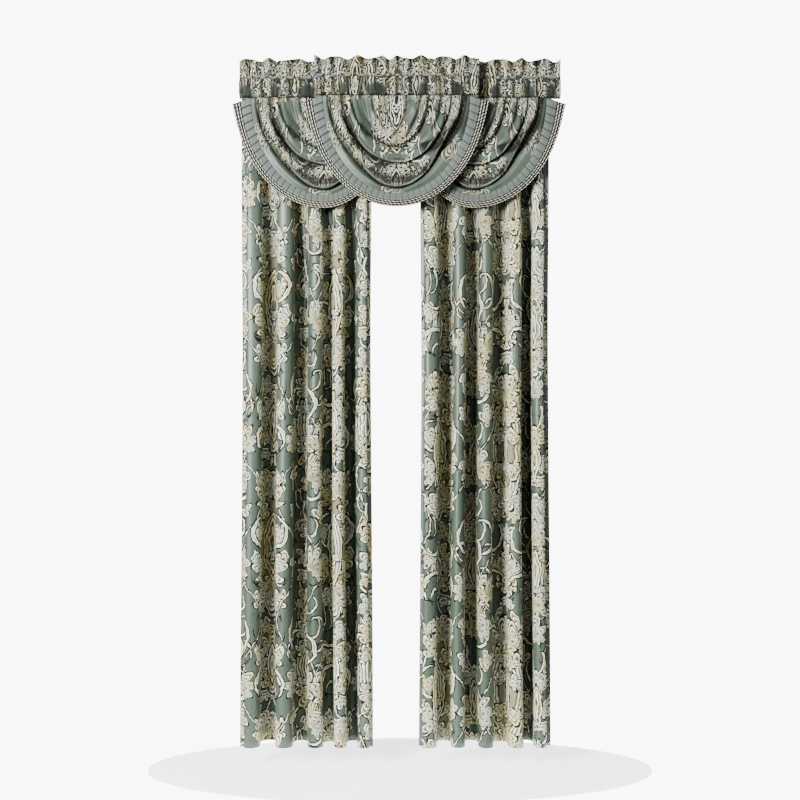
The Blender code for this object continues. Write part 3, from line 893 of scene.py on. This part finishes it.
def swag_grid(middle, rod_y, shares):
    """The points of one swag, in nested folds from its seam to its sewn edge."""
    counted = np.linspace(0.0, len(SWAG_ROWS) - 1, (len(SWAG_ROWS) - 1) * SWAG_ROW_STEPS + 1)
    columns = np.array(SWAG_ROWS).T
    rows = [eased(range(len(SWAG_ROWS)), column, counted)[:, None] for column in columns]
    seam_left, seam_right, spread, drop, forward = rows
    angle = np.linspace(0.0, math.pi, SWAG_ANGLES + 1)[None, :]
    low = np.sin(angle)
    on_left = angle < math.pi / 2
    seam = np.where(on_left, seam_left, seam_right)
    half_width = seam + (spread - seam) * smooth(low, 0.0, 0.64)
    x = -half_width * np.cos(angle) * np.where(on_left, *shares)
    relief = SEAM_RELIEF + (1 - SEAM_RELIEF) * smooth(low, 0.0, 0.45)
    y = -forward * relief
    z = SEAM_Z - SEAM_GAP - drop * low
    grid = np.stack([middle + x, rod_y + y, z], axis=2)
    side = -seam * np.cos(angle) / np.maximum(np.abs(np.cos(angle)), 1e-6)
    gathers = np.cos(2 * math.pi * side / SWAG_GATHER + 1.5 * np.sin(40 * side))
    heights = GATHER_RISE * gathers * (1 - smooth(low, 0.25, 0.85)) * smooth(low, 0.0, 0.10)
    run = run_length(grid, 1)
    edge_run = run[-1]
    run = run - run[:, SWAG_ANGLES // 2][:, None]
    counted = counted[:, None]
    uneven = waves(31, 8, run, counted, (12, 60), (-1.5, 1.5))
    heights = heights + 0.0009 * uneven * smooth(low, 0.02, 0.2)
    near_edge = smooth(counted, 14.0, 15.0)
    below = drop * low
    folds, shade = crease_relief(x, below, SWAG_CREASES)
    # Painted shade along the creases, in the valleys between the rolls, and a little all over.
    valley = (1 - smooth(forward, 0.004, 0.015)) * smooth(counted, 2.0, 3.5) * smooth(low, 0.1, 0.5)
    share, least = SWAG_SHADE
    shade = np.maximum(np.minimum(share * shade + least, 1.0), SWAG_VALLEY_SHADE * valley)
    heights = (heights + folds) * (1 - near_edge)
    swollen = raised(grid, heights)
    least_y = np.maximum(grid[..., 1], rod_y - 0.002)
    swollen[..., 1] = np.minimum(swollen[..., 1], least_y)
    outermost = smooth(counted, 12.6, 13.6)
    plain = outermost * np.ones(x.shape)
    for place_x, place_z, half_x, half_z in SWAG_PLAIN:
        away = np.hypot((x - place_x) / half_x, (below - place_z) / half_z)
        plain = np.maximum(plain, 1 - smooth(away, 0.7, 1.2))
    flowers = smooth(np.cos(2 * math.pi * (edge_run - FLOWER_START) / FLOWER_PITCH), 0.3, 0.8)
    plain = plain * (1 - 0.6 * flowers[None, :] * outermost)
    down = run_length(grid, 0)[:, SWAG_ANGLES // 2][:, None]
    return swollen, run, np.broadcast_to(down, run.shape), shade, plain


def trim_points(shares, curve, outwards, angle, rise):
    """Points on one of the trims' curves, moved outwards and raised towards the room."""
    spread, drop, start, flare, forward = curve
    low = np.sin(angle)
    side = np.where(angle < math.pi / 2, *shares)
    turn_out = np.copysign(flare * (1 - low) ** FLARE_POWER, np.cos(angle))
    x = -((spread + outwards) * np.cos(angle) + turn_out) * side
    relief = SEAM_RELIEF + (1 - SEAM_RELIEF) * smooth(low, 0.0, 0.45)
    z = SEAM_Z - SEAM_GAP - start - (drop + outwards) * low
    return np.stack(np.broadcast_arrays(x, -forward * relief - rise, z), axis=-1)


def band_piece(name, middle, rod_y, shares):
    """The satin band round a swag, laid in knife pleats across its width."""
    stations = []
    for pleat in range(BAND_PLEATS):
        for step in range(PLEAT_STEPS + 1):
            share = (1 - PLEAT_STEP_SHARE) * step / PLEAT_STEPS
            stations.append((pleat + share, PLEAT_RISE * (1 - step / PLEAT_STEPS) ** 0.8))
    counted, rise = np.array(stations).T
    angle = math.pi * counted / (BAND_PLEATS - PLEAT_STEP_SHARE)
    inner = trim_points(shares, SEWN_EDGE, BAND_GAP, angle, 0.0)
    outer = trim_points(shares, BAND_OUTER, 0.0, angle, 0.0)
    width = np.linspace(0.0, 1.0, TRIM_STEPS_ACROSS + 1)
    across = inner[:, None] + (outer - inner)[:, None] * width[None, :, None]
    front, back = across.copy(), across[:, ::-1].copy()
    puff = 0.25 + 0.75 * np.sin(math.pi * width) ** 0.7
    front[..., 1] -= BAND_THICKNESS / 2 + rise[:, None] * puff[None, :]
    back[..., 1] += BAND_THICKNESS / 2
    # A turning behind the swag's edge closes the seam.
    back[:, -1] = trim_points(shares, SEWN_EDGE, -TURNING, angle, -SHEET_THICKNESS / 2 - 0.0006)
    grid = np.concatenate([front, back], axis=1) + np.array([middle, rod_y, 0.0])
    down = np.concatenate([width, width[::-1]]) * BAND_WIDTH
    places = np.stack(np.broadcast_arrays(counted[:, None], down[None, :]), axis=2)
    return strip(name, grid[:, ::-1], places[:, ::-1], [finish("band_satin")])


def braid_piece(name, middle, rod_y, shares):
    """Three twisted cords side by side, stitched to a dark tape along the band's outer edge."""
    angle = np.linspace(0.0, math.pi, CORD_STEPS + 1)
    turn = np.linspace(0.0, 2 * math.pi, CORD_SIDES, endpoint=False)
    points, faces, places = [], [], []

    def add(tube, run, around):
        shape = tube.shape[:2]
        faces.append(grid_faces(*shape, around=True)[:, ::-1] + sum(len(part) for part in points))
        points.append(tube.reshape(-1, 3))
        pairs = np.broadcast_arrays(run[:, None], around[None, :])
        places.append(np.stack(pairs, axis=2).reshape(-1, 2))

    def along(share):
        curve = [a + (b - a) * share for a, b in zip(BAND_OUTER, BRAID_OUTER)]
        return trim_points(shares, curve, 0.0, angle, 0.0) + np.array([middle, rod_y, 0.0])

    for k in range(3):
        line = along((k + 0.5) / 3)
        run = run_length(line, 0)
        out = along(1.0) - along(0.0)
        half = np.linalg.norm(out, axis=1, keepdims=True) / 6
        out /= 6 * half
        twist = 2 * math.pi * run[:, None] / CORD_TWIST
        lump = 1 + CORD_LUMP * np.cos(2 * (turn[None, :] + twist))
        ring = out[:, None] * (np.cos(turn)[None, :] * half * CORD_PLUMP * lump)[..., None]
        ring[..., 1] -= np.sin(turn)[None, :] * CORD_RADIUS * lump * 0.75 + 0.0010
        add(line[:, None] + ring, run, turn / (2 * math.pi))
    inner, outer = along(TAPE_INNER), along(TAPE_OUTER)
    tape = np.stack([inner, outer, outer, inner], axis=1)
    tape[:, :, 1] += np.array(TAPE_RISES)
    add(tape, run_length(inner, 0), np.full(4, TAPE_PLACE))
    joined = [np.concatenate(parts) for parts in (points, faces, places)]
    return mesh_piece(name, *joined, [finish("braid_cord")])


def length(name, description, default):
    return bpy.props.FloatProperty(
        name=name, description=description, default=default, unit="LENGTH"
    )


def watts(name, description, default):
    return bpy.props.FloatProperty(
        name=name, description=description, default=default, unit="POWER"
    )


def colour(name, description, default):
    return bpy.props.FloatVectorProperty(
        name=name, description=description, default=default, size=3, subtype="COLOR"
    )


class CurtainCut(bpy.types.PropertyGroup):
    """How the cloth was cut before it was hung."""

    panel_width: length("Panel width", "Cut width of each long panel", 1.27)
    fullness: bpy.props.FloatProperty(
        name="Fullness",
        description="Width of a heading's cloth over the width it is gathered to",
        default=1.4,
    )
    swag_width: length("Swag width", "Width of the half oval that each swag is cut to", 0.58)
    swag_length: length("Swag length", "Length of the half oval that each swag is cut to", 0.40)
    wrinkle: length("Wrinkle", "Depth of the soft wrinkles in the long panels", 0.0011)


class CurtainColours(bpy.types.PropertyGroup):
    """Colours of the cloth and its trims."""

    ground: colour("Ground", "Satin ground of the damask", (0.052, 0.078, 0.055))
    ivory: colour("Ivory", "Pale yarn of the motifs", (0.880, 0.920, 0.740))
    sage: colour("Sage", "Pale green satin inside the motifs", (0.145, 0.178, 0.136))
    gold: colour("Gold", "Beige yarn inside the motifs", (0.320, 0.268, 0.135))
    outline: colour("Outline", "Dark yarn round the motifs", (0.0040, 0.0045, 0.0032))
    reverse: colour("Reverse", "Dull back of the damask", (0.105, 0.130, 0.108))
    satin: colour("Satin", "Pleated bands", (0.070, 0.088, 0.074))
    cord: colour("Cord", "Pale yarn of the braid", (0.800, 0.800, 0.640))


class CurtainStudio(bpy.types.PropertyGroup):
    """Where the curtains are seen from, and how brightly."""

    distance: length("Distance", "From the camera to the curtains", 4.5)
    key_power: watts("Key light", "Watts of the main light", 700.0)
    fill_power: watts("Fill light", "Watts of the soft light", 40.0)
    back_power: watts("Back light", "Watts of the light behind", 130.0)
    floor_height: length("Floor", "Height of the floor under the hems", -2.20)


class CURTAIN_OT_long_panels(bpy.types.Operator):
    """Make the two long panels in their hanging folds"""

    bl_idname = "curtain.long_panels"
    bl_label = "Long panels"

    def execute(self, context):
        cut = context.scene.curtain_cut
        for name, left, folds, darker, middle, down in PANELS:
            grid, run, below, shade = panel_grid(left, folds, darker, cut.wrinkle)
            at_middle = np.interp(left + middle, grid[PANEL_STEPS // 3, :, 0], run)
            across = np.broadcast_to(run - at_middle, grid.shape[:2])
            lowered = np.broadcast_to(below - SEAM_Z - down, grid.shape[:2])
            places = np.stack([across, lowered], axis=2)
            materials = faces_and_back("damask_face")
            piece = cloth(name + "_cloth", grid, places, (shade, 0.0), SHEET_THICKNESS, materials)
            stand_for(piece, "damask", name)
        return {"FINISHED"}


class CURTAIN_OT_headings(bpy.types.Operator):
    """Make the ruffle and rod pocket at the top of each curtain"""

    bl_idname = "curtain.headings"
    bl_label = "Headings"

    def execute(self, context):
        rows = [
            (name, left, BACK_LAYER, (0.0, folds[-1][0]), PANEL_RUFFLE_PHASE)
            for name, left, folds, *_ in PANELS
        ]
        rows += [(name, middle, rod_y, ends, phase) for name, middle, rod_y, _, ends, phase in VALANCES]
        for name, middle, rod_y, (left, right), phase_shift in rows:
            grid, down, *marks = heading_grid(middle, left, right, rod_y, phase_shift)
            across = grid[..., 0] * HEADING_WEAVE[0] + HEADING_PLACE[0]
            places = np.stack([across, down * HEADING_WEAVE[1] + HEADING_PLACE[1]], axis=2)
            materials = faces_and_back("heading_face")
            piece = cloth(name + "_heading_cloth", grid, places, marks, HEADING_SHEET, materials)
            stand_for(piece, "damask", name + "_heading")
        return {"FINISHED"}


class CURTAIN_OT_swags(bpy.types.Operator):
    """Make the hanging cloth of the three valances"""

    bl_idname = "curtain.swags"
    bl_label = "Swags"

    def execute(self, context):
        for name, middle, rod_y, shares, *_ in VALANCES:
            grid, run, down, *marks = swag_grid(middle, rod_y, shares)
            places = np.stack([run * SWAG_WEAVE[0], down * SWAG_WEAVE[1]], axis=2)
            materials = faces_and_back("swag_face")
            piece = cloth(name + "_cloth", grid, places, marks, SHEET_THICKNESS, materials)
            stand_for(piece, "damask", name)
        return {"FINISHED"}


class CURTAIN_OT_pleated_bands(bpy.types.Operator):
    """Make the pleated satin band round each valance"""

    bl_idname = "curtain.pleated_bands"
    bl_label = "Pleated bands"

    def execute(self, context):
        for name, middle, rod_y, shares, *_ in VALANCES:
            piece = band_piece(name + "_pleats", middle, rod_y, shares)
            stand_for(piece, "satin_band", name + "_band")
        return {"FINISHED"}


class CURTAIN_OT_corded_braids(bpy.types.Operator):
    """Make the three twisted cords outside each band"""

    bl_idname = "curtain.corded_braids"
    bl_label = "Corded braids"

    def execute(self, context):
        for name, middle, rod_y, shares, *_ in VALANCES:
            piece = braid_piece(name + "_cords", middle, rod_y, shares)
            stand_for(piece, "corded_braid", name + "_braid")
        return {"FINISHED"}


class CURTAIN_OT_stage(bpy.types.Operator):
    """Set the camera, the lights and a pale floor"""

    bl_idname = "curtain.stage"
    bl_label = "Stage"

    def execute(self, context):
        studio = context.scene.curtain_studio
        camera = bpy.data.objects.new("camera", bpy.data.cameras.new("camera"))
        camera.data.sensor_width = SENSOR
        camera.data.lens = SENSOR * studio.distance / VIEW_WIDTH
        camera.location = (0.0, -studio.distance, VIEW_MIDDLE)
        camera.rotation_euler = (math.pi / 2, 0.0, 0.0)
        context.scene.collection.objects.link(camera)
        context.scene.camera = camera
        lights = (
            # name, power, size, place
            ("key", studio.key_power, 1.5, (-2.3, -3.5, -0.05)),
            ("fill", studio.fill_power, 2.5, (2.6, -3.4, -0.6)),
            ("back", studio.back_power, 2.5, (1.8, 3.6, 0.2)),
        )
        for name, power, size, place in lights:
            lamp = bpy.data.lights.new(name, "AREA")
            lamp.energy = power
            lamp.shape = "DISK"
            lamp.size = size
            holder = bpy.data.objects.new(name, lamp)
            holder.location = place
            holder.visible_camera = False
            x, y, z = np.array(place) - np.array(LIT_POINT)
            tilt = math.pi / 2 - math.atan2(z, math.hypot(x, y))
            holder.rotation_euler = (tilt, 0.0, math.atan2(x, -y))
            context.scene.collection.objects.link(holder)
        self.make_floor(studio.floor_height)
        self.make_world(context.scene)
        return {"FINISHED"}

    def make_floor(self, height):
        """A round pale floor that marks where the room's floor is."""
        turn = np.linspace(0.0, 2 * math.pi, FLOOR_SIDES, endpoint=False)
        across, deep = FLOOR_HALF_WIDTH * np.cos(turn), FLOOR_HALF_DEPTH * np.sin(turn)
        points = np.stack([across, deep, np.full(FLOOR_SIDES, height)], axis=1)
        mesh = bpy.data.meshes.new("floor")
        mesh.from_pydata(points.tolist(), [], [list(range(FLOOR_SIDES))])
        mesh.uv_layers.new(name="cloth")
        mesh.materials.append(finish("pale_floor"))
        floor = bpy.data.objects.new("floor", mesh)
        bpy.context.scene.collection.objects.link(floor)

    def make_world(self, scene):
        """White behind the curtains, with a dimmer light from all round."""
        world = bpy.data.worlds.new("studio")
        world.use_nodes = True
        tree = world.node_tree
        tree.nodes.clear()
        path = tree.nodes.new("ShaderNodeLightPath")
        seen = Socket(tree, path.outputs["Is Camera Ray"])
        strength = seen * SKY_SEEN + SKY_LIGHT
        sky = seen.node("Background", {}, {"Color": WHITE, "Strength": strength})
        output = tree.nodes.new("ShaderNodeOutputWorld")
        tree.links.new(sky.output, output.inputs["Surface"])
        scene.world = world


OPERATORS = (
    CURTAIN_OT_long_panels,
    CURTAIN_OT_headings,
    CURTAIN_OT_pleated_bands,
    CURTAIN_OT_corded_braids,
    CURTAIN_OT_swags,
    CURTAIN_OT_stage,
)


class CURTAIN_PT_sidebar(bpy.types.Panel):
    """Everything that the curtains are made with"""

    bl_idname = "CURTAIN_PT_sidebar"
    bl_label = "Curtains"
    bl_space_type = "VIEW_3D"
    bl_region_type = "UI"
    bl_category = "Curtains"

    def draw(self, context):
        for place, _ in GROUPS:
            group = getattr(context.scene, place)
            box = self.layout.box()
            for name in group.bl_rna.properties.keys():
                if name not in ("rna_type", "name"):
                    box.prop(group, name)
        for operator in OPERATORS:
            self.layout.operator(operator.bl_idname)


GROUPS = (
    ("curtain_cut", CurtainCut),
    ("curtain_colours", CurtainColours),
    ("curtain_studio", CurtainStudio),
)


def register():
    for name, group in GROUPS:
        bpy.utils.register_class(group)
        setattr(bpy.types.Scene, name, bpy.props.PointerProperty(type=group))
    for made in (*OPERATORS, CURTAIN_PT_sidebar):
        bpy.utils.register_class(made)


def unregister():
    for made in reversed((*OPERATORS, CURTAIN_PT_sidebar)):
        bpy.utils.unregister_class(made)
    for name, group in reversed(GROUPS):
        delattr(bpy.types.Scene, name)
        bpy.utils.unregister_class(group)


def main():
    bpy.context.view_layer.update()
    register()
    bpy.ops.curtain.headings()
    bpy.ops.curtain.long_panels()
    bpy.ops.curtain.pleated_bands()
    bpy.ops.curtain.corded_braids()
    bpy.ops.curtain.swags()
    bpy.ops.curtain.stage()


if __name__ == "__main__":
    main()
